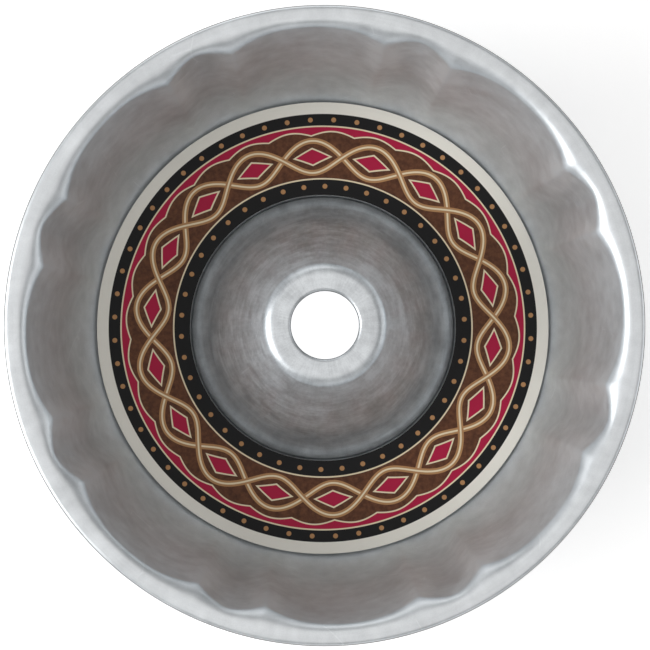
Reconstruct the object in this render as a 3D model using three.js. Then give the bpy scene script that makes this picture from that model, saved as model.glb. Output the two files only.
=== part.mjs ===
// Kugelhopf mould: a fluted ring pan pressed from coated steel sheet. A conical centre tube is locked into
// its floor by a folded seam, its rim is rolled round a wire, and a printed card ring lies in its trough.
// Millimetres, +Z up, the origin on the axis in the plane that the mould stands on, +X through a wide flute.
import * as THREE from "three";

// Overall sizes
const RIM_DIAMETER = 248;
const HEIGHT = 86;
const SHEET = 0.6; // steel of the shell and of the tube
const FIT_GAP = 0.3; // between two pieces that are folded or rolled together

// Rim: a flat ring round the mouth, a crowned slope outside it and an edge rolled round the wire
const RIM_WIDTH = 4.7;
const RIM_FLAT = 1.6;
const RIM_SLOPE = 6; // degrees, where the crown runs into the roll
const ROLL_WRAP = 280; // degrees
const WIRE_DIAMETER = 1.6;

// Fluted wall: wide round flutes and narrow pointed ones take turns, with a ridge between each two
const FLUTE_PAIRS = 8;
const NARROW_FLUTE = 13.8; // degrees of the circle, from ridge to ridge
const WIDE_CURVE = 2.6; // power that rounds a wide flute from its middle to its ridges
const NARROW_CURVE = 1.35; // power that gives a narrow flute its pointed arch
const FLUTE_SHOULDER = 4; // radius from the rim into the middle of a flute
const RIDGE_SHOULDER = 9; // radius from the rim into a ridge
const FLUTE_DRAFT = 12.9; // degrees from upright
const RIDGE_DRAFT = 12.4;

// Trough: a bend under the wall, a flat ring to stand on and a flare up into the tube
const FLUTE_BEND = 25; // height where the wall starts to bend in the middle of a flute
const RIDGE_BEND = 16; // and on a ridge
const LAND_WIDTH = 6;

// Centre tube: a cone with a rounded top and a hole whose edge is turned down
const HOLE_DIAMETER = 26.3;
const TUBE_TOP_DIAMETER = 38.8; // of the flat ring round the hole
const TUBE_SHOULDER = 5;
const TUBE_DRAFT = 18.5; // degrees from upright
const LIP_RADIUS = 1.5;
const LIP_DEPTH = 4;

// Folded seam between the shell's floor and the tube's foot
const SEAM_HEIGHT = 4.6; // of the shell's face where its edge turns down
const FOLD_LEG = 1.4; // of the tube's edge, folded up outside the shell's edge

// Card ring
const CARD_THICKNESS = 0.5;
const CARD_HEIGHT = 8.2; // of its underside
const CARD_OUTER_GAP = 0.6; // to the ridges that carry it
const CARD_INNER_GAP = 3; // to the tube

// How finely the round forms are cut
const WIDE_STEPS = 8;
const NARROW_STEPS = 4;
const TUBE_COLUMNS = 48;
const RING_COLUMNS = 96;
const WIRE_SIDES = 6;

const rad = THREE.MathUtils.degToRad;
const point = (r, z) => new THREE.Vector2(r, z);
const line = (from, to) => new THREE.LineCurve(from, to);

// Arc about a centre, its ends given as angles in degrees from the outward direction.
function arc(centre, radius, from, to) {
  return new THREE.EllipseCurve(centre.x, centre.y, radius, radius, rad(from), rad(to), to < from);
}

// Samples the stretches of a sheet's face, each a curve with a count of steps. The face's normal is on
// the right of the way along it.
function sampleFace(stretches) {
  const face = [];
  stretches.forEach(([curve, steps], number) => {
    for (let k = number === 0 ? 0 : 1; k <= steps; k++) {
      const along = curve.getTangent(k / steps);
      face.push({ at: curve.getPoint(k / steps), normal: point(along.y, -along.x) });
    }
  });
  return face;
}

// Mouth: where the flat of the rim ends and the wall's shoulder begins
const mouthRadius = RIM_DIAMETER / 2 - RIM_WIDTH;

// Corners where the straight wall and the straight cone would meet the floor. The flat ring lies midway.
function wallCorner(shoulder, draft) {
  const startRadius = mouthRadius - shoulder * Math.cos(draft);
  const startHeight = HEIGHT - shoulder * (1 - Math.sin(draft));
  return startRadius - Math.tan(draft) * (startHeight - SHEET);
}
const tubeDraft = rad(TUBE_DRAFT);
const tubeTopRadius = TUBE_TOP_DIAMETER / 2;
const coneTop = point(
  tubeTopRadius + TUBE_SHOULDER * Math.cos(tubeDraft),
  HEIGHT - TUBE_SHOULDER * (1 - Math.sin(tubeDraft)),
);
const tubeCorner = coneTop.x + Math.tan(tubeDraft) * (coneTop.y - SHEET);
const ridgeCorner = wallCorner(RIDGE_SHOULDER, rad(RIDGE_DRAFT));
const landOuter = (ridgeCorner + tubeCorner + LAND_WIDTH) / 2;
const landInner = landOuter - LAND_WIDTH;

// Flare from the flat ring up into the cone, as an arc that touches both
const flareRadius = (landInner - tubeCorner) / Math.tan((Math.PI / 2 - tubeDraft) / 2);
const flareCentre = point(landInner, SHEET + flareRadius);

// Seam: the shell's edge turns down off the flare as a collar, and the tube's edge goes down inside it,
// under it and up again outside it.
const foldInside = SHEET / 2 + FIT_GAP;
const foldFace = foldInside + SHEET;
const shellFoldAngle = Math.acos(1 - (SEAM_HEIGHT - SHEET) / flareRadius);
const foldShift = (2 * foldFace + FIT_GAP) / (flareRadius + foldFace);
const tubeFoldAngle = Math.asin(Math.sin(shellFoldAngle) + foldShift);
const foldCentre = (angle) =>
  point(
    flareCentre.x - (flareRadius + foldFace) * Math.sin(angle),
    flareCentre.y - (flareRadius + foldFace) * Math.cos(angle),
  );
const shellFold = foldCentre(shellFoldAngle);
const tubeFold = foldCentre(tubeFoldAngle);
const collarInner = shellFold.x - foldFace;
const hookHeight = shellFold.y - FOLD_LEG;

// Roll of the rim, its centre on the wire's, and the crown that runs out to it
const rimSlope = rad(RIM_SLOPE);
const rollRadius = WIRE_DIAMETER / 2 + FIT_GAP + SHEET;
const rollCentreRadius = RIM_DIAMETER / 2 - rollRadius;
const crownStart = mouthRadius + RIM_FLAT;
const crownRadius = (rollCentreRadius - crownStart) / Math.sin(rimSlope) + rollRadius;
const crownCentre = point(crownStart, HEIGHT - crownRadius);
const rollCentre = point(rollCentreRadius, crownCentre.y + (crownRadius - rollRadius) * Math.cos(rimSlope));

// Share of the ridge at an angle in degrees: 0 along the middle of a flute, 1 on the ridge between two.
const flutePitch = 360 / FLUTE_PAIRS;
const wideFlute = flutePitch - NARROW_FLUTE;
function ridgeShare(angle) {
  const fromWide = Math.abs(angle - flutePitch * Math.round(angle / flutePitch));
  if (fromWide <= wideFlute / 2) return (fromWide / (wideFlute / 2)) ** WIDE_CURVE;
  return ((flutePitch / 2 - fromWide) / (NARROW_FLUTE / 2)) ** NARROW_CURVE;
}

// Shell's upper face at an angle, from the tip of the roll over the rim and down the wall to the seam.
function shellFace(angle) {
  const share = ridgeShare(angle);
  const shoulder = THREE.MathUtils.lerp(FLUTE_SHOULDER, RIDGE_SHOULDER, share);
  const draft = THREE.MathUtils.lerp(FLUTE_DRAFT, RIDGE_DRAFT, share);
  const corner = point(wallCorner(shoulder, rad(draft)), SHEET);
  const rollEnd = 90 - RIM_SLOPE;
  const shoulderArc = arc(point(mouthRadius, HEIGHT - shoulder), shoulder, 90, 180 - draft);
  const bendHeight = THREE.MathUtils.lerp(FLUTE_BEND, RIDGE_BEND, share);
  const bendStart = point(corner.x + Math.tan(rad(draft)) * (bendHeight - SHEET), bendHeight);
  const foldStart = 90 - THREE.MathUtils.radToDeg(shellFoldAngle);
  return sampleFace([
    [arc(rollCentre, rollRadius, rollEnd - ROLL_WRAP, rollEnd), 6],
    [arc(crownCentre, crownRadius, rollEnd, 90), 1],
    [line(point(crownStart, HEIGHT), point(mouthRadius, HEIGHT)), 1],
    [shoulderArc, 4],
    [line(shoulderArc.getPoint(1), bendStart), 2],
    [new THREE.QuadraticBezierCurve(bendStart, corner, point(landOuter, SHEET)), 6],
    [line(point(landOuter, SHEET), point(landInner, SHEET)), 1],
    [arc(flareCentre, flareRadius, -90, foldStart - 180), 2],
    [arc(shellFold, foldFace, foldStart, 180), 2],
    [line(point(collarInner, shellFold.y), point(collarInner, hookHeight)), 1],
  ]);
}

// Columns of the shell, so that every ridge and the middle of every flute has one
function shellAngles() {
  const angles = [];
  for (let pair = 0; pair < FLUTE_PAIRS; pair++) {
    const wideStart = pair * flutePitch - wideFlute / 2;
    for (let k = 0; k < WIDE_STEPS; k++) angles.push(wideStart + (k * wideFlute) / WIDE_STEPS);
    const narrowStart = wideStart + wideFlute;
    for (let k = 0; k < NARROW_STEPS; k++) angles.push(narrowStart + (k * NARROW_FLUTE) / NARROW_STEPS);
  }
  return angles;
}

// Closed section of the shell at each column: the face, then its underside one sheet behind it, square to
// the fluted surface and not just to the section.
function shellSections() {
  const angles = shellAngles();
  const faces = angles.map(shellFace);
  return faces.map((face, column) => {
    const turn = rad(angles[column]);
    const before = faces.at(column - 1);
    const after = faces[(column + 1) % faces.length];
    const step = rad(angles[(column + 1) % angles.length] - angles.at(column - 1));
    const turned = Math.atan2(Math.sin(step), Math.cos(step));
    const outward = new THREE.Vector3(Math.cos(turn), Math.sin(turn), 0);
    const sideways = new THREE.Vector3(-Math.sin(turn), Math.cos(turn), 0);
    const upper = [];
    const under = [];
    face.forEach(({ at, normal }, row) => {
      const growth = after[row].at.clone().sub(before[row].at).divideScalar(turned * at.x);
      const square = outward.clone().multiplyScalar(normal.x);
      square.addScaledVector(sideways, -normal.dot(growth));
      square.z = normal.y;
      const place = outward.clone().multiplyScalar(at.x).setZ(at.y);
      upper.push(place);
      under.unshift(place.clone().addScaledVector(square.normalize(), -SHEET));
    });
    return [...upper, ...under];
  });
}

// Closed ring through closed sections, one for each column round the axis
function ringGeometry(sections) {
  const rows = sections[0].length;
  const index = [];
  sections.forEach((section, column) => {
    const here = column * rows;
    const next = ((column + 1) % sections.length) * rows;
    for (let row = 0; row < rows; row++) {
      const below = (row + 1) % rows;
      index.push(here + row, next + row, here + below, here + below, next + row, next + below);
    }
  });
  return new THREE.BufferGeometry().setFromPoints(sections.flat()).setIndex(index);
}

// Solid of revolution about +Z from a section of radius and height that closes on itself
function turnedGeometry(section, columns) {
  return new THREE.LatheGeometry([...section, section[0]], columns).rotateX(Math.PI / 2);
}

// Tube's outer face, from the tip of its folded edge up the flare and the cone and into the hole
function tubeSection() {
  const foldEnd = 90 - THREE.MathUtils.radToDeg(tubeFoldAngle);
  const legRadius = collarInner + SHEET + FIT_GAP;
  const innerLeg = collarInner - FIT_GAP;
  const holeRadius = HOLE_DIAMETER / 2;
  const flare = arc(flareCentre, flareRadius, foldEnd - 180, TUBE_DRAFT - 180);
  const face = sampleFace([
    [line(point(legRadius, shellFold.y), point(legRadius, hookHeight)), 1],
    [arc(point(collarInner + SHEET / 2, hookHeight), foldInside, 0, -180), 4],
    [line(point(innerLeg, hookHeight), point(innerLeg, tubeFold.y)), 1],
    [arc(tubeFold, foldFace, 0, foldEnd), 2],
    [flare, 4],
    [line(flare.getPoint(1), coneTop), 1],
    [arc(point(tubeTopRadius, HEIGHT - TUBE_SHOULDER), TUBE_SHOULDER, TUBE_DRAFT, 90), 4],
    [line(point(tubeTopRadius, HEIGHT), point(holeRadius + LIP_RADIUS, HEIGHT)), 1],
    [arc(point(holeRadius + LIP_RADIUS, HEIGHT - LIP_RADIUS), LIP_RADIUS, 90, 180), 3],
    [line(point(holeRadius, HEIGHT - LIP_RADIUS), point(holeRadius, HEIGHT - LIP_DEPTH)), 1],
  ]);
  const back = face.map(({ at, normal }) => at.clone().addScaledVector(normal, -SHEET));
  return [...face.map(({ at }) => at), ...back.reverse()];
}

// Card: cut to the trough's width at the height where it lies, between the ridges and the tube
function cardSection() {
  const bendShare = Math.sqrt((CARD_HEIGHT - SHEET) / (RIDGE_BEND - SHEET));
  const ridgeStart = ridgeCorner + Math.tan(rad(RIDGE_DRAFT)) * (RIDGE_BEND - SHEET);
  const ridgeBend = new THREE.QuadraticBezierCurve(
    point(ridgeStart, RIDGE_BEND),
    point(ridgeCorner, SHEET),
    point(landOuter, SHEET),
  );
  const outer = ridgeBend.getPoint(1 - bendShare).x - CARD_OUTER_GAP;
  const flareDepth = flareCentre.y - CARD_HEIGHT;
  const inner = flareCentre.x - Math.sqrt(flareRadius ** 2 - flareDepth ** 2) + CARD_INNER_GAP;
  const top = CARD_HEIGHT + CARD_THICKNESS;
  return [point(inner, CARD_HEIGHT), point(outer, CARD_HEIGHT), point(outer, top), point(inner, top)];
}

// Finishes
const coating = new THREE.MeshStandardMaterial({ color: 0xa3a5a6, roughness: 0.42, metalness: 0.75 });
const steel = new THREE.MeshStandardMaterial({ color: 0xb4b4b2, roughness: 0.35, metalness: 1 });
const card = new THREE.MeshStandardMaterial({ color: 0x7a3a1c, roughness: 0.5, metalness: 0 });

function named(name, geometry, material) {
  const mesh = new THREE.Mesh(geometry, material);
  mesh.name = name;
  return mesh;
}

const fluted_shell = named("fluted_shell", ringGeometry(shellSections()), coating);
const centre_tube = named("centre_tube", turnedGeometry(tubeSection(), TUBE_COLUMNS), coating);
const card_ring = named("card_ring", turnedGeometry(cardSection(), RING_COLUMNS), card);
const wireRing = new THREE.TorusGeometry(rollCentre.x, WIRE_DIAMETER / 2, WIRE_SIDES, RING_COLUMNS);
const rim_wire = named("rim_wire", wireRing, steel);
rim_wire.position.z = rollCentre.y;

const kugelhopf_mould = new THREE.Group();
kugelhopf_mould.add(fluted_shell, centre_tube, rim_wire, card_ring);

export default kugelhopf_mould;
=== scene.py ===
import math

import bpy
import numpy as np
from mathutils import Matrix, Vector


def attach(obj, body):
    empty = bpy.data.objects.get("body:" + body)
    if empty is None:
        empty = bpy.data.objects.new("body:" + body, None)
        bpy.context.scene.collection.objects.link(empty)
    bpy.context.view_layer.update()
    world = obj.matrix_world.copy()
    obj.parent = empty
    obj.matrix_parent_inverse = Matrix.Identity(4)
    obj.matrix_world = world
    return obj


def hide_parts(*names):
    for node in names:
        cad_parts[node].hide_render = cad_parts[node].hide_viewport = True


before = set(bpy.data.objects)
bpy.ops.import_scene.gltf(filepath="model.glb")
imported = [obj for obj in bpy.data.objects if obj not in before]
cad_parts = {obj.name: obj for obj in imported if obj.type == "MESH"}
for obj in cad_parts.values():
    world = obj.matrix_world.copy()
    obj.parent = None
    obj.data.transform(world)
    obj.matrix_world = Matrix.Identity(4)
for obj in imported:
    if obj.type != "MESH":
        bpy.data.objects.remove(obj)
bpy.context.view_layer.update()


# Fluted shell
# The outer pressing: one sheet of 0.6 mm steel, drawn in a die, with a satin silver-grey non-stick coating
# on both faces. Rolled rim, flutes, trough and the collar of the folded seam are all one surface.

SHEET = 0.0006
HEIGHT = 0.086
FIT_GAP = 0.0003
MOUTH_RADIUS = 0.1193
RIM_RADIUS = 0.124
RIM_FLAT = 0.0016
RIM_SLOPE = math.radians(6)
ROLL_WRAP = math.radians(280)
ROLL_RADIUS = 0.0017
FLUTE_PAIRS = 8
FLUTE_PITCH = 2 * math.pi / FLUTE_PAIRS
NARROW_HALF = math.radians(6.9)
WIDE_HALF = FLUTE_PITCH / 2 - NARROW_HALF
WIDE_CURVE, NARROW_CURVE = 2.6, 1.35
NARROW_ROUNDING = math.radians(0.45)
RIDGE_CRISPNESS = 9
FLUTE_SHOULDER, RIDGE_SHOULDER = 0.004, 0.009
FLUTE_DRAFT, RIDGE_DRAFT = math.radians(12.9), math.radians(12.4)
FLUTE_BEND, RIDGE_BEND = 0.025, 0.016
LAND_WIDTH = 0.006
TUBE_DRAFT = math.radians(18.5)
TUBE_TOP_RADIUS = 0.0194
TUBE_SHOULDER = 0.005
SEAM_HEIGHT = 0.0046
FOLD_LEG = 0.0014


def wall_top(shoulder, draft):
    """Where the shoulder meets the straight wall: the point of its arc that leans by the draft."""
    return MOUTH_RADIUS - shoulder * np.cos(draft), HEIGHT - shoulder * (1 - np.sin(draft))


def wall_corner(shoulder, draft):
    """Radius where the straight wall would meet the floor: the wall's top less its lean over its height."""
    radius, height = wall_top(shoulder, draft)
    return radius - np.tan(draft) * (height - SHEET)


cone_top_radius = TUBE_TOP_RADIUS + TUBE_SHOULDER * math.cos(TUBE_DRAFT)
cone_top_height = HEIGHT - TUBE_SHOULDER * (1 - math.sin(TUBE_DRAFT))
tube_corner = cone_top_radius + math.tan(TUBE_DRAFT) * (cone_top_height - SHEET)
ridge_corner = float(wall_corner(RIDGE_SHOULDER, RIDGE_DRAFT))
land_outer = (ridge_corner + tube_corner + LAND_WIDTH) / 2
land_inner = land_outer - LAND_WIDTH
flare_radius = (land_inner - tube_corner) / math.tan((math.pi / 2 - TUBE_DRAFT) / 2)
flare_height = SHEET + flare_radius
fold_inside = SHEET / 2 + FIT_GAP
fold_face = fold_inside + SHEET
shell_fold_angle = math.acos(1 - (SEAM_HEIGHT - SHEET) / flare_radius)
shell_fold_radius = land_inner - (flare_radius + fold_face) * math.sin(shell_fold_angle)
shell_fold_height = flare_height - (flare_radius + fold_face) * math.cos(shell_fold_angle)
collar_inner = shell_fold_radius - fold_face
hook_height = shell_fold_height - FOLD_LEG
crown_start = MOUTH_RADIUS + RIM_FLAT
roll_centre_radius = RIM_RADIUS - ROLL_RADIUS
crown_radius = (roll_centre_radius - crown_start) / math.sin(RIM_SLOPE) + ROLL_RADIUS
roll_centre_height = HEIGHT - crown_radius + (crown_radius - ROLL_RADIUS) * math.cos(RIM_SLOPE)


def arc(radius, height, bow, start, end, steps):
    """Stretch of a section along an arc: the centre plus bow times the cosine and sine of even angles."""
    angle = start + (end - start) * np.linspace(0, 1, steps + 1)[:, None]
    return radius + bow * np.cos(angle), height + bow * np.sin(angle)


def straight(start, end, steps):
    """Stretch of a section along a line: start plus an even share of the way to the end."""
    share = np.linspace(0, 1, steps + 1)[:, None]
    return start[0] + (end[0] - start[0]) * share, start[1] + (end[1] - start[1]) * share


def section(stretches, columns):
    """Stretches end to end, without the points that they share, as radius and height by row and column."""
    parts = []
    for radius, height in stretches:
        rows = np.stack(np.broadcast_arrays(radius, height, np.zeros(columns))[:2])
        parts.append(rows[:, 1:] if parts else rows)
    return np.concatenate(parts, axis=1)


def turned_round(radius, height, turn):
    """Section carried round the axis: radius times the cosine and the sine of the turn, and height."""
    return np.stack([radius * np.cos(turn), radius * np.sin(turn), height], axis=-1)


def even_turns(columns):
    """So many angles, evenly round the axis."""
    return np.linspace(0, 2 * math.pi, columns, endpoint=False)


def ridge_share(turn):
    """0 along the middle of a flute and near 1 on a ridge: the soft minimum of two powers, one of the angle
    from a wide flute's middle and one of the angle from a narrow flute's, whose point is rounded by a root of
    squares. Each angle is a share of its flute's half width."""
    from_wide = np.abs(turn - FLUTE_PITCH * np.round(turn / FLUTE_PITCH))
    from_narrow = np.hypot(FLUTE_PITCH / 2 - from_wide, NARROW_ROUNDING) - NARROW_ROUNDING
    wide = (from_wide / WIDE_HALF) ** WIDE_CURVE
    narrow = (from_narrow / NARROW_HALF) ** NARROW_CURVE
    return -np.log(np.exp(-RIDGE_CRISPNESS * wide) + np.exp(-RIDGE_CRISPNESS * narrow)) / RIDGE_CRISPNESS


def crowded_steps(steps):
    """Steps from -1 to 1 that lie closer together towards both ends: two fifths of an even run and three
    fifths of its sine."""
    even = np.linspace(-1, 1, steps, endpoint=False)
    return 0.4 * even + 0.6 * np.sin(even * math.pi / 2)


def shell_turns():
    """Angles of the columns: for each pair of flutes, a run over the wide one and a run over the narrow one,
    both crowded towards the ridges."""
    pair = np.concatenate([WIDE_HALF * crowded_steps(36), FLUTE_PITCH / 2 + NARROW_HALF * crowded_steps(24)])
    return (pair + FLUTE_PITCH * np.arange(FLUTE_PAIRS)[:, None]).ravel()


def shell_face(turn):
    """Upper face of the shell. Its section runs inwards: arc of the roll, crowned rim, flat, arc over the
    shoulder, straight wall, parabola under it, flat ring, flare and collar. The ridge's share at each angle
    blends shoulder, draft and parabola from those of a flute to those of a ridge."""
    share = ridge_share(turn)
    shoulder = FLUTE_SHOULDER + (RIDGE_SHOULDER - FLUTE_SHOULDER) * share
    draft = FLUTE_DRAFT + (RIDGE_DRAFT - FLUTE_DRAFT) * share
    corner = wall_corner(shoulder, draft)
    roll_end = math.pi / 2 - RIM_SLOPE
    bend_top = FLUTE_BEND + (RIDGE_BEND - FLUTE_BEND) * share
    bend_start = corner + np.tan(draft) * (bend_top - SHEET)
    bend = np.linspace(0, 1, 19)[:, None]
    bend_radius = (1 - bend) ** 2 * bend_start + 2 * bend * (1 - bend) * corner + bend**2 * land_outer
    bend_height = SHEET + (1 - bend) ** 2 * (bend_top - SHEET)
    fold_start = math.pi / 2 - shell_fold_angle
    radius, height = section(
        [
            arc(roll_centre_radius, roll_centre_height, ROLL_RADIUS, roll_end - ROLL_WRAP, roll_end, 20),
            arc(crown_start, HEIGHT - crown_radius, crown_radius, roll_end, math.pi / 2, 4),
            straight((crown_start, HEIGHT), (MOUTH_RADIUS, HEIGHT), 2),
            arc(MOUTH_RADIUS, HEIGHT - shoulder, shoulder, math.pi / 2, math.pi - draft, 16),
            straight(wall_top(shoulder, draft), (bend_start, bend_top), 10),
            (bend_radius, bend_height),
            straight((land_outer, SHEET), (land_inner, SHEET), 2),
            arc(land_inner, flare_height, flare_radius, -math.pi / 2, fold_start - math.pi, 8),
            arc(shell_fold_radius, shell_fold_height, fold_face, fold_start, math.pi, 8),
            straight((collar_inner, shell_fold_height), (collar_inner, hook_height), 1),
        ],
        len(turn),
    )
    return turned_round(radius, height, turn)


def ring_piece(name, skin):
    """Mesh of a skin that closes on itself both ways: each point joins the next in its row and its column."""
    rows, columns = skin.shape[:2]
    number = np.arange(rows * columns).reshape(rows, columns)
    beside, under = np.roll(number, -1, axis=1), np.roll(number, -1, axis=0)
    corners = np.stack([number, beside, np.roll(under, -1, axis=1), under], axis=-1)
    mesh = bpy.data.meshes.new(name)
    mesh.from_pydata(skin.reshape(-1, 3), [], corners.reshape(-1, 4))
    mesh.shade_smooth()
    mesh.set_sharp_from_angle(angle=math.radians(50))
    piece = bpy.data.objects.new(name, mesh)
    bpy.context.scene.collection.objects.link(piece)
    return piece


def sheet_piece(name, face):
    """Sheet from its face: the back lies one thickness behind, along the cross product of the face's two
    slopes. An attribute is 0 on the face and 1 on the back."""
    run = np.linalg.norm(np.diff(face, axis=0), axis=-1).mean(axis=1)
    along = np.gradient(face, np.concatenate([[0], np.cumsum(run)]), axis=0)
    wrapped = np.concatenate([face[:, -1:], face, face[:, :1]], axis=1)
    across = np.gradient(wrapped, axis=1)[:, 1:-1]
    square = np.cross(across, along)
    square /= np.linalg.norm(square, axis=-1, keepdims=True)
    piece = ring_piece(name, np.concatenate([face, (face - SHEET * square)[::-1]]))
    back = piece.data.attributes.new("sheet_back", "FLOAT", "POINT")
    back.data.foreach_set("value", np.repeat([0.0, 1.0], face.shape[0] * face.shape[1]))
    return piece


class Shade:
    """One value in a material's nodes. Arithmetic adds Math nodes, and node() adds any other kind."""

    def __init__(self, socket):
        self.socket = socket

    def node(self, kind, settings=None, inputs=None, output=0):
        tree = self.socket.id_data
        made = tree.nodes.new(kind)
        for name, setting in (settings or {}).items():
            setattr(made, name, setting)
        for name, value in (inputs or {}).items():
            if isinstance(value, Shade):
                tree.links.new(value.socket, made.inputs[name])
            else:
                made.inputs[name].default_value = value
        return Shade(made.outputs[output])

    def math(self, operation, *others, clamp=False):
        settings = {"operation": operation, "use_clamp": clamp}
        return self.node("ShaderNodeMath", settings, dict(enumerate((self, *others))))

    def __add__(self, other):
        return self.math("ADD", other)

    def __sub__(self, other):
        return self.math("SUBTRACT", other)

    def __rsub__(self, other):
        return self * -1 + other

    def __mul__(self, other):
        return self.math("MULTIPLY", other)

    def __truediv__(self, other):
        return self.math("DIVIDE", other)

    __radd__ = __add__
    __rmul__ = __mul__


def finish(name):
    """New material: its shader node, and its Object coordinates as a Shade."""
    material = bpy.data.materials.new(name)
    material.use_nodes = True
    nodes = material.node_tree.nodes
    return material, nodes["Principled BSDF"], Shade(nodes.new("ShaderNodeTexCoord").outputs["Object"])


def feed(shader, name, value):
    """Link from a value to the shader's input of that name."""
    shader.id_data.links.new(value.socket, shader.inputs[name])


def noise(place, scale, detail=2.0):
    """Noise with a mean of about a half, its cells so many to a unit of place."""
    return place.node("ShaderNodeTexNoise", None, {"Vector": place, "Scale": scale, "Detail": detail})


def mix(share, first, second):
    """Colour between two, by the share of the second."""
    return share.node("ShaderNodeMix", {"data_type": "RGBA"}, {0: share, 6: first, 7: second}, 2)


def axes(place):
    """Distance from the axis, angle round it and height, of a place in Object coordinates."""
    apart = place.node("ShaderNodeSeparateXYZ", None, {0: place}).socket.node.outputs
    x, y, height = (Shade(socket) for socket in apart)
    return (x * x + y * y).math("SQRT"), y.math("ARCTAN2", x), height


def wrapped_noise(angle, around, along):
    """Noise round the axis with a mean of about 0: so many cells to a radian, and one to a unit along."""
    turned = {0: angle.math("COSINE") * around, 1: angle.math("SINE") * around, 2: along}
    return noise(angle.node("ShaderNodeCombineXYZ", None, turned), 1, 3.0) - 0.5


def below(value, limit, edge):
    """1 where the value is under the limit, 0 where it is over it, with a soft edge of the width given."""
    return ((limit - value) / edge + 0.5).math("MAXIMUM", 0, clamp=True)


HOLE_EDGE, ROLL_EDGE = 0.0133, 0.1236
# Reach and width of the painted highlight on the ridge tops and of the painted shade in the narrow flutes.
PAINTED_LIGHT_TOP, RIDGE_HIGHLIGHT_FOOT, FLUTE_SHADE_FOOT = 0.1125, 0.107, 0.101
PAINTED_LIGHT_HALF = math.radians(4.5)
# Colour of the painted shade at the hole's edge and the roll's outer edge.
EDGE_SHADE = (0.1, 0.1, 0.1, 1)
# Colour of the painted shade on the sheet's back.
BACK_SHADE = (0.2, 0.21, 0.22, 1)


def satin_coating(name, grey, light, mottle):
    """Silver-grey non-stick film. Its tone lies between grey and light and varies by mottle times a sum of
    noises: clouds, patches, drawing marks down the walls, turning marks round the axis and a fine flake. It
    has a few hair scratches. Painted highlight lightens it at the tops of the ridges, and painted shade
    darkens it in the narrow flutes, inside the hole, outside the roll and on the sheet's back."""
    material, shader, place = finish(name)
    radius, angle, height = axes(place)
    clouds = noise(place, 42, 4.0) - 0.5
    patches = noise(place, 170, 3.0) - 0.5
    drawing_marks = wrapped_noise(angle, 24, height * 216 + radius * 96)
    turning_marks = wrapped_noise(angle, 3, height * 300 - radius * 600)
    flake = noise(place, 2400, 1.0) - 0.5
    cells = {"Vector": place, "Scale": 34.0}
    cracks = place.node("ShaderNodeTexVoronoi", {"feature": "DISTANCE_TO_EDGE"}, cells)
    scratches = below(cracks, 0.006, 0.008) * below(0.62 - noise(place, 55, 2.0), 0, 0.05)
    # Painted shade: a dark line inside the hole and round the outside of the roll.
    edge_shade = below(radius, HOLE_EDGE, 0.0002) + below(0 - radius, -ROLL_EDGE, 0.0003)
    # Painted highlight along the ridge tops and painted shade in the narrow flutes, on the walls under the
    # shoulder.
    from_wide = ((angle / FLUTE_PITCH + 0.5).math("FRACT") - 0.5).math("ABSOLUTE") * FLUTE_PITCH
    ridge_highlight = ((from_wide - WIDE_HALF).math("ABSOLUTE") / -PAINTED_LIGHT_HALF + 1).math("MAXIMUM", 0)
    flute_shade = ((from_wide - FLUTE_PITCH / 2) / PAINTED_LIGHT_HALF + 1).math("MAXIMUM", 0)
    under_shoulder = below(radius, PAINTED_LIGHT_TOP, 0.004)
    upper_wall = under_shoulder * below(RIDGE_HIGHLIGHT_FOOT - radius, 0, 0.008)
    whole_wall = under_shoulder * below(FLUTE_SHADE_FOOT - radius, 0, 0.008)
    ridge_highlight_flute_shade = ridge_highlight * upper_wall * 0.75 - flute_shade * whole_wall * 0.3
    uneven = clouds * 1.1 + patches * 0.9 + drawing_marks * 0.5 + turning_marks * 0.6 + flake * 0.5
    tone = uneven * mottle + scratches * 0.3 + ridge_highlight_flute_shade + 0.5
    # Painted shade: the sheet's back, the pan's outside and the tube's inside, is mixed towards a darker
    # grey.
    back = place.node("ShaderNodeAttribute", {"attribute_name": "sheet_back"}, None, "Fac")
    coat = mix(back * 0.45, mix(tone, grey, light), BACK_SHADE)
    feed(shader, "Base Color", mix(edge_shade, coat, EDGE_SHADE))
    rough = clouds * 0.14 + patches * 0.1 + turning_marks * 0.1 + flake * 0.12
    feed(shader, "Roughness", rough * mottle + 0.42)
    peel = noise(place, 850, 2.0) + scratches * 0.4
    bump = place.node("ShaderNodeBump", None, {"Strength": 0.14, "Distance": 0.00012, "Height": peel})
    feed(shader, "Normal", bump)
    shader.inputs["Metallic"].default_value = 0.75
    return material


fluted_shell = sheet_piece("fluted_shell_skin", shell_face(shell_turns()))
shell_coating = satin_coating("shell_coating", (0.591, 0.62, 0.641, 1), (0.827, 0.862, 0.886, 1), 0.9)
fluted_shell.data.materials.append(shell_coating)
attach(fluted_shell, "pan")
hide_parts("fluted_shell")


# Centre tube
# The second pressing, a cone of the same coated sheet. Its top is flat with a turned-down hole, and its foot
# is folded down inside the shell's collar, under it and up again outside it, which locks the two together.

HOLE_RADIUS = 0.01315
LIP_RADIUS = 0.0015
LIP_DEPTH = 0.004


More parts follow.
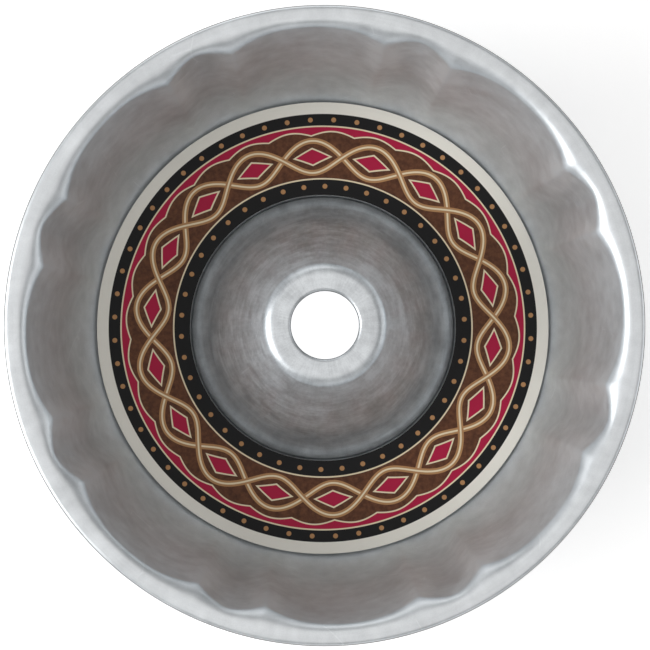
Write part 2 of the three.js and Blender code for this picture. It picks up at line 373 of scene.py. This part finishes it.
def tube_face(turn):
    """Outer face of the tube. Its section runs upwards: outer leg of the fold, half round under the collar,
    inner leg, arc on to the flare, flare, straight cone, arc over the shoulder, flat top, arc into the hole
    and lip."""
    fold_shift = (2 * fold_face + FIT_GAP) / (flare_radius + fold_face)
    fold_angle = math.asin(math.sin(shell_fold_angle) + fold_shift)
    fold_radius = land_inner - (flare_radius + fold_face) * math.sin(fold_angle)
    fold_height = flare_height - (flare_radius + fold_face) * math.cos(fold_angle)
    fold_end = math.pi / 2 - fold_angle
    outer_leg, inner_leg = collar_inner + SHEET + FIT_GAP, collar_inner - FIT_GAP
    flare_end_radius = land_inner - flare_radius * math.cos(TUBE_DRAFT)
    flare_end_height = flare_height - flare_radius * math.sin(TUBE_DRAFT)
    lip_centre = HOLE_RADIUS + LIP_RADIUS
    radius, height = section(
        [
            straight((outer_leg, shell_fold_height), (outer_leg, hook_height), 2),
            arc(collar_inner + SHEET / 2, hook_height, fold_inside, 0, -math.pi, 12),
            straight((inner_leg, hook_height), (inner_leg, fold_height), 2),
            arc(fold_radius, fold_height, fold_face, 0, fold_end, 6),
            arc(land_inner, flare_height, flare_radius, fold_end - math.pi, TUBE_DRAFT - math.pi, 16),
            straight((flare_end_radius, flare_end_height), (cone_top_radius, cone_top_height), 24),
            arc(TUBE_TOP_RADIUS, HEIGHT - TUBE_SHOULDER, TUBE_SHOULDER, TUBE_DRAFT, math.pi / 2, 14),
            straight((TUBE_TOP_RADIUS, HEIGHT), (lip_centre, HEIGHT), 3),
            arc(lip_centre, HEIGHT - LIP_RADIUS, LIP_RADIUS, math.pi / 2, math.pi, 10),
            straight((HOLE_RADIUS, HEIGHT - LIP_RADIUS), (HOLE_RADIUS, HEIGHT - LIP_DEPTH), 2),
        ],
        len(turn),
    )
    return turned_round(radius, height, turn)


centre_tube = sheet_piece("centre_tube_skin", tube_face(even_turns(256)))
# Painted shade: the tube's copy of the coating has darker grey and light tones than the shell's.
shaded_tube_coating = satin_coating("shaded_tube_coating", (0.53, 0.558, 0.58, 1), (0.768, 0.805, 0.83, 1), 1.5)
centre_tube.data.materials.append(shaded_tube_coating)
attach(centre_tube, "pan")
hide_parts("centre_tube")


# Rim wire
# A ring of plain drawn steel wire, 1.6 mm thick, that stiffens the rim. The shell's edge is rolled round it,
# so it shows only from below, in the narrow gap of the roll.

WIRE_RADIUS = 0.0008


def round_ring(centre_radius, height, bow, columns, sides):
    """Skin of a round bar bent to a ring: a circle of the bar's radius carried round the axis."""
    around = -even_turns(sides)[:, None]
    rise = np.broadcast_to(height + bow * np.sin(around), (sides, columns))
    return turned_round(centre_radius + bow * np.cos(around), rise, even_turns(columns))


def drawn_wire(name):
    """Bare steel: a bright grey metal whose roughness and tone vary in long streaks round the ring."""
    material, shader, place = finish(name)
    radius, angle, height = axes(place)
    streaks = wrapped_noise(angle, 6, radius * 2400 + height * 3100)
    feed(shader, "Base Color", mix(streaks + 0.5, (0.38, 0.38, 0.37, 1), (0.58, 0.57, 0.55, 1)))
    feed(shader, "Roughness", streaks * 0.3 + 0.34)
    shader.inputs["Metallic"].default_value = 1
    return material


wire_skin = round_ring(roll_centre_radius, roll_centre_height, WIRE_RADIUS, 360, 14)
rim_wire = ring_piece("rim_wire_bar", wire_skin)
rim_wire.data.materials.append(drawn_wire("drawn_wire"))
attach(rim_wire, "pan")
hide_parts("rim_wire")


# Card ring
# A die-cut ring of 0.5 mm white card, printed and varnished on top, that lies loose on the trough's ridges,
# round the tube. Its cut edges and its back are bare card.

CARD_HEIGHT = 0.0082
CARD_THICKNESS = 0.0005
CARD_OUTER_GAP, CARD_INNER_GAP = 0.0006, 0.003
ridge_bend_start = ridge_corner + math.tan(RIDGE_DRAFT) * (RIDGE_BEND - SHEET)
bend_share = math.sqrt((CARD_HEIGHT - SHEET) / (RIDGE_BEND - SHEET))
corner_share = 2 * bend_share * (1 - bend_share)
land_share = (1 - bend_share) ** 2
ridge_at_card = bend_share**2 * ridge_bend_start + corner_share * ridge_corner + land_share * land_outer
flare_at_card = land_inner - math.sqrt(flare_radius**2 - (flare_height - CARD_HEIGHT) ** 2)
card_outer, card_inner = ridge_at_card - CARD_OUTER_GAP, flare_at_card + CARD_INNER_GAP


def card_skin(columns):
    """Skin of the card: a rectangle with edges rounded by a tenth of a millimetre, carried round the axis."""
    soft = 0.0001
    low, high = CARD_HEIGHT, CARD_HEIGHT + CARD_THICKNESS
    radius, height = section(
        [
            straight((card_outer - soft, high), (card_inner + soft, high), 24),
            arc(card_inner + soft, high - soft, soft, math.pi / 2, math.pi, 3),
            arc(card_inner + soft, low + soft, soft, math.pi, 1.5 * math.pi, 3),
            straight((card_inner + soft, low), (card_outer - soft, low), 24),
            arc(card_outer - soft, low + soft, soft, 1.5 * math.pi, 2 * math.pi, 3),
            arc(card_outer - soft, high - soft, soft, 0, math.pi / 2, 3),
        ],
        columns,
    )
    return turned_round(radius, height, even_turns(columns))[:-1]


CHOCOLATE, CRUMB = (0.06, 0.021, 0.01, 1), (0.18, 0.066, 0.028, 1)
CARAMEL, CREAM, IVORY = (0.45, 0.235, 0.1, 1), (0.82, 0.7, 0.49, 1), (0.86, 0.83, 0.75, 1)
CRIMSON, BLACK = (0.42, 0.007, 0.05, 1), (0.006, 0.006, 0.0065, 1)
PRINT_EDGE = 0.00012
WAVE_MIDDLE, WAVE_REACH, WAVE_TURNS = 0.0704, 0.0066, 9
WAVE_WIDTH, WAVE_LINE = 0.0024, 0.0007
SCALLOP_FOOT, SCALLOP_RISE, SCALLOP_TURNS = 0.0793, 0.0018, 14
INNER_RING, INNER_DOTS = 0.061, 0.0582
OUTER_RING, OUTER_DOTS, MARGIN = 0.0832, 0.0856, 0.088
CREAM_LINE = 0.0006
DOT_SIZE = 0.001


def printed_card(name):
    """Varnished print on white card, drawn in distance from the axis and angle: rings, dots, lozenges and two
    waves. A wave is where the distance less a sine of so many turns is near nothing, over the root of one and
    its slope squared, which keeps its width."""
    material, shader, place = finish(name)
    radius, angle, height = axes(place)

    def wave(reach, width):
        turned = angle * WAVE_TURNS
        slope = turned.math("COSINE") * (reach * WAVE_TURNS) / radius
        off = (radius - WAVE_MIDDLE - turned.math("SINE") * reach) / (slope * slope + 1).math("SQRT")
        return below(off.math("ABSOLUTE"), width / 2, PRINT_EDGE)

    def across(turns, shift):
        """Distance from the middle of the nearest of so many places round the ring."""
        share = (angle * (turns / (2 * math.pi)) + shift).math("FRACT") - 0.5
        return share * radius * (2 * math.pi / turns)

    def dots(middle, turns):
        side, rise = across(turns, 0.5), radius - middle
        return below((side * side + rise * rise).math("SQRT"), DOT_SIZE, PRINT_EDGE)

    def lozenges(shift, wide, high):
        side, rise = across(WAVE_TURNS, shift).math("ABSOLUTE"), (radius - WAVE_MIDDLE).math("ABSOLUTE")
        return below(side / wide + rise / high, 1, PRINT_EDGE * 2 / wide)

    def outside(limit):
        return below(limit - radius, 0, PRINT_EDGE)

    def inside(limit):
        return below(radius, limit, PRINT_EDGE)

    ink = mix(noise(place, 620, 5.0) * 1.5 - 0.35, CHOCOLATE, CRUMB)
    for reach in (WAVE_REACH, -WAVE_REACH):
        ink = mix(wave(reach, WAVE_WIDTH), ink, CARAMEL)
        ink = mix(wave(reach, WAVE_LINE), ink, CREAM)
    for shift in (0.25, 0.75):
        ink = mix(lozenges(shift, 0.0082, 0.0038), ink, CREAM)
        ink = mix(lozenges(shift, 0.0068, 0.0031), ink, CRIMSON)
    scallop = (angle * SCALLOP_TURNS).math("SINE").math("ABSOLUTE") * SCALLOP_RISE + SCALLOP_FOOT
    ink = mix(outside(scallop - CREAM_LINE), ink, CREAM)
    ink = mix(outside(scallop), ink, CRIMSON)
    ink = mix(outside(OUTER_RING - CREAM_LINE), ink, CREAM)
    ink = mix(outside(OUTER_RING), ink, BLACK)
    ink = mix(dots(OUTER_DOTS, 56), ink, CARAMEL)
    ink = mix(outside(MARGIN), ink, IVORY)
    ink = mix(inside(INNER_RING + CREAM_LINE), ink, CREAM)
    ink = mix(inside(INNER_RING), ink, BLACK)
    ink = mix(dots(INNER_DOTS, 42), ink, CARAMEL)
    fibre = noise(place, 1500, 3.0)
    board = mix(fibre, (0.62, 0.6, 0.55, 1), (0.85, 0.83, 0.79, 1))
    print_depth = 0.00004
    bare = below(height, CARD_HEIGHT + CARD_THICKNESS - print_depth, print_depth / 2)
    feed(shader, "Base Color", mix(bare, ink, board))
    feed(shader, "Roughness", bare * 0.3 + fibre * 0.1 + 0.45)
    shader.inputs["Specular IOR Level"].default_value = 0.2
    bump = place.node("ShaderNodeBump", None, {"Strength": 0.1, "Distance": 0.00008, "Height": fibre})
    feed(shader, "Normal", bump)
    return material


card_ring = ring_piece("card_ring_sheet", card_skin(256))
card_ring.data.materials.append(printed_card("printed_card"))
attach(card_ring, "card")
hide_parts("card_ring")


# Floor, light and camera
# A white studio table, a large soft light low on the left, a wide one overhead, three weak low ones round the
# mould, and a long lens that looks straight down from about a degree off the axis.

PHOTO_TURN = math.radians(-3.47)
CAMERA_RISE = 1.2
CAMERA_ASIDE = (-0.0131, -0.0179)
VIEW_WIDTH = 0.25087
SENSOR_WIDTH = 36
LAMP_DISTANCE = 1.5
FLOOR_HALF = 6.0


def photo_side(right, up):
    """Direction on the table for a distance to the right and up in the picture."""
    return Vector((right, up, 0)) @ Matrix.Rotation(-PHOTO_TURN, 3, "Z")


def white_table(name):
    """Matt white table top with a faint grain. It glows, most of all where only the tube's hole shows it."""
    material, shader, place = finish(name)
    grain = noise(place, 300, 2.0)
    feed(shader, "Base Color", mix(grain, (0.88, 0.88, 0.88, 1), (0.92, 0.92, 0.92, 1)))
    under_tube = below(axes(place)[0], 0.03, 0.01)
    feed(shader, "Emission Color", mix(under_tube, (0.45, 0.45, 0.45, 1), (1, 1, 1, 1)))
    shader.inputs["Roughness"].default_value = 0.9
    shader.inputs["Emission Strength"].default_value = 1.0
    return material


floor_corners = np.array([[-1, -1, 0], [1, -1, 0], [1, 1, 0], [-1, 1, 0]]) * FLOOR_HALF
floor_mesh = bpy.data.meshes.new("floor")
floor_mesh.from_pydata(floor_corners, [], [(0, 1, 2, 3)])
floor_mesh.materials.append(white_table("white_table"))
floor = bpy.data.objects.new("floor", floor_mesh)
bpy.context.scene.collection.objects.link(floor)


def soft_light(name, turn, rise, size, power, colour=(1, 1, 1)):
    """Area light of some width and height that looks at the middle of the mould, by its angle in the picture
    and its elevation, both in degrees."""
    light = bpy.data.lights.new(name, "AREA")
    light.shape = "RECTANGLE"
    light.size, light.size_y = size
    light.energy, light.color = power, colour
    lamp = bpy.data.objects.new(name, light)
    turn, rise = math.radians(turn), math.radians(rise)
    aside = photo_side(math.cos(turn), math.sin(turn)) * math.cos(rise)
    middle = Vector((0, 0, HEIGHT / 2))
    lamp.location = middle + (aside + Vector((0, 0, math.sin(rise)))) * LAMP_DISTANCE
    lamp.rotation_euler = (middle - lamp.location).to_track_quat("-Z", "Y").to_euler()
    bpy.context.scene.collection.objects.link(lamp)


soft_light("key_light", 191, 27, (1.2, 1.2), 20)
soft_light("overhead_light", 0, 88, (1.8, 1.8), 8, (1, 0.965, 0.94))
for turn, power in ((0, 3.8), (100, 4.2), (285, 1.9)):
    soft_light(f"fill_light_{turn}", turn, 12, (1.3, 0.8), power)

world = bpy.data.worlds.new("studio")
world.use_nodes = True
sky = world.node_tree.nodes["Background"]
sky.inputs["Color"].default_value = (0.97, 0.985, 1, 1)
sky.inputs["Strength"].default_value = 0.2
bpy.context.scene.world = world
bpy.context.scene.view_settings.view_transform = "Standard"

lens = bpy.data.cameras.new("camera")
lens.sensor_width = SENSOR_WIDTH
lens.lens = SENSOR_WIDTH * CAMERA_RISE / VIEW_WIDTH
lens.clip_end = 50
camera = bpy.data.objects.new("camera", lens)
aim = Vector((0, 0, HEIGHT))
camera.location = photo_side(*CAMERA_ASIDE) + aim + Vector((0, 0, CAMERA_RISE))
away = (camera.location - aim).normalized()
sideways = photo_side(0, 1).cross(away).normalized()
camera.rotation_euler = Matrix((sideways, away.cross(sideways), away)).transposed().to_euler()
bpy.context.scene.collection.objects.link(camera)
bpy.context.scene.camera = camera
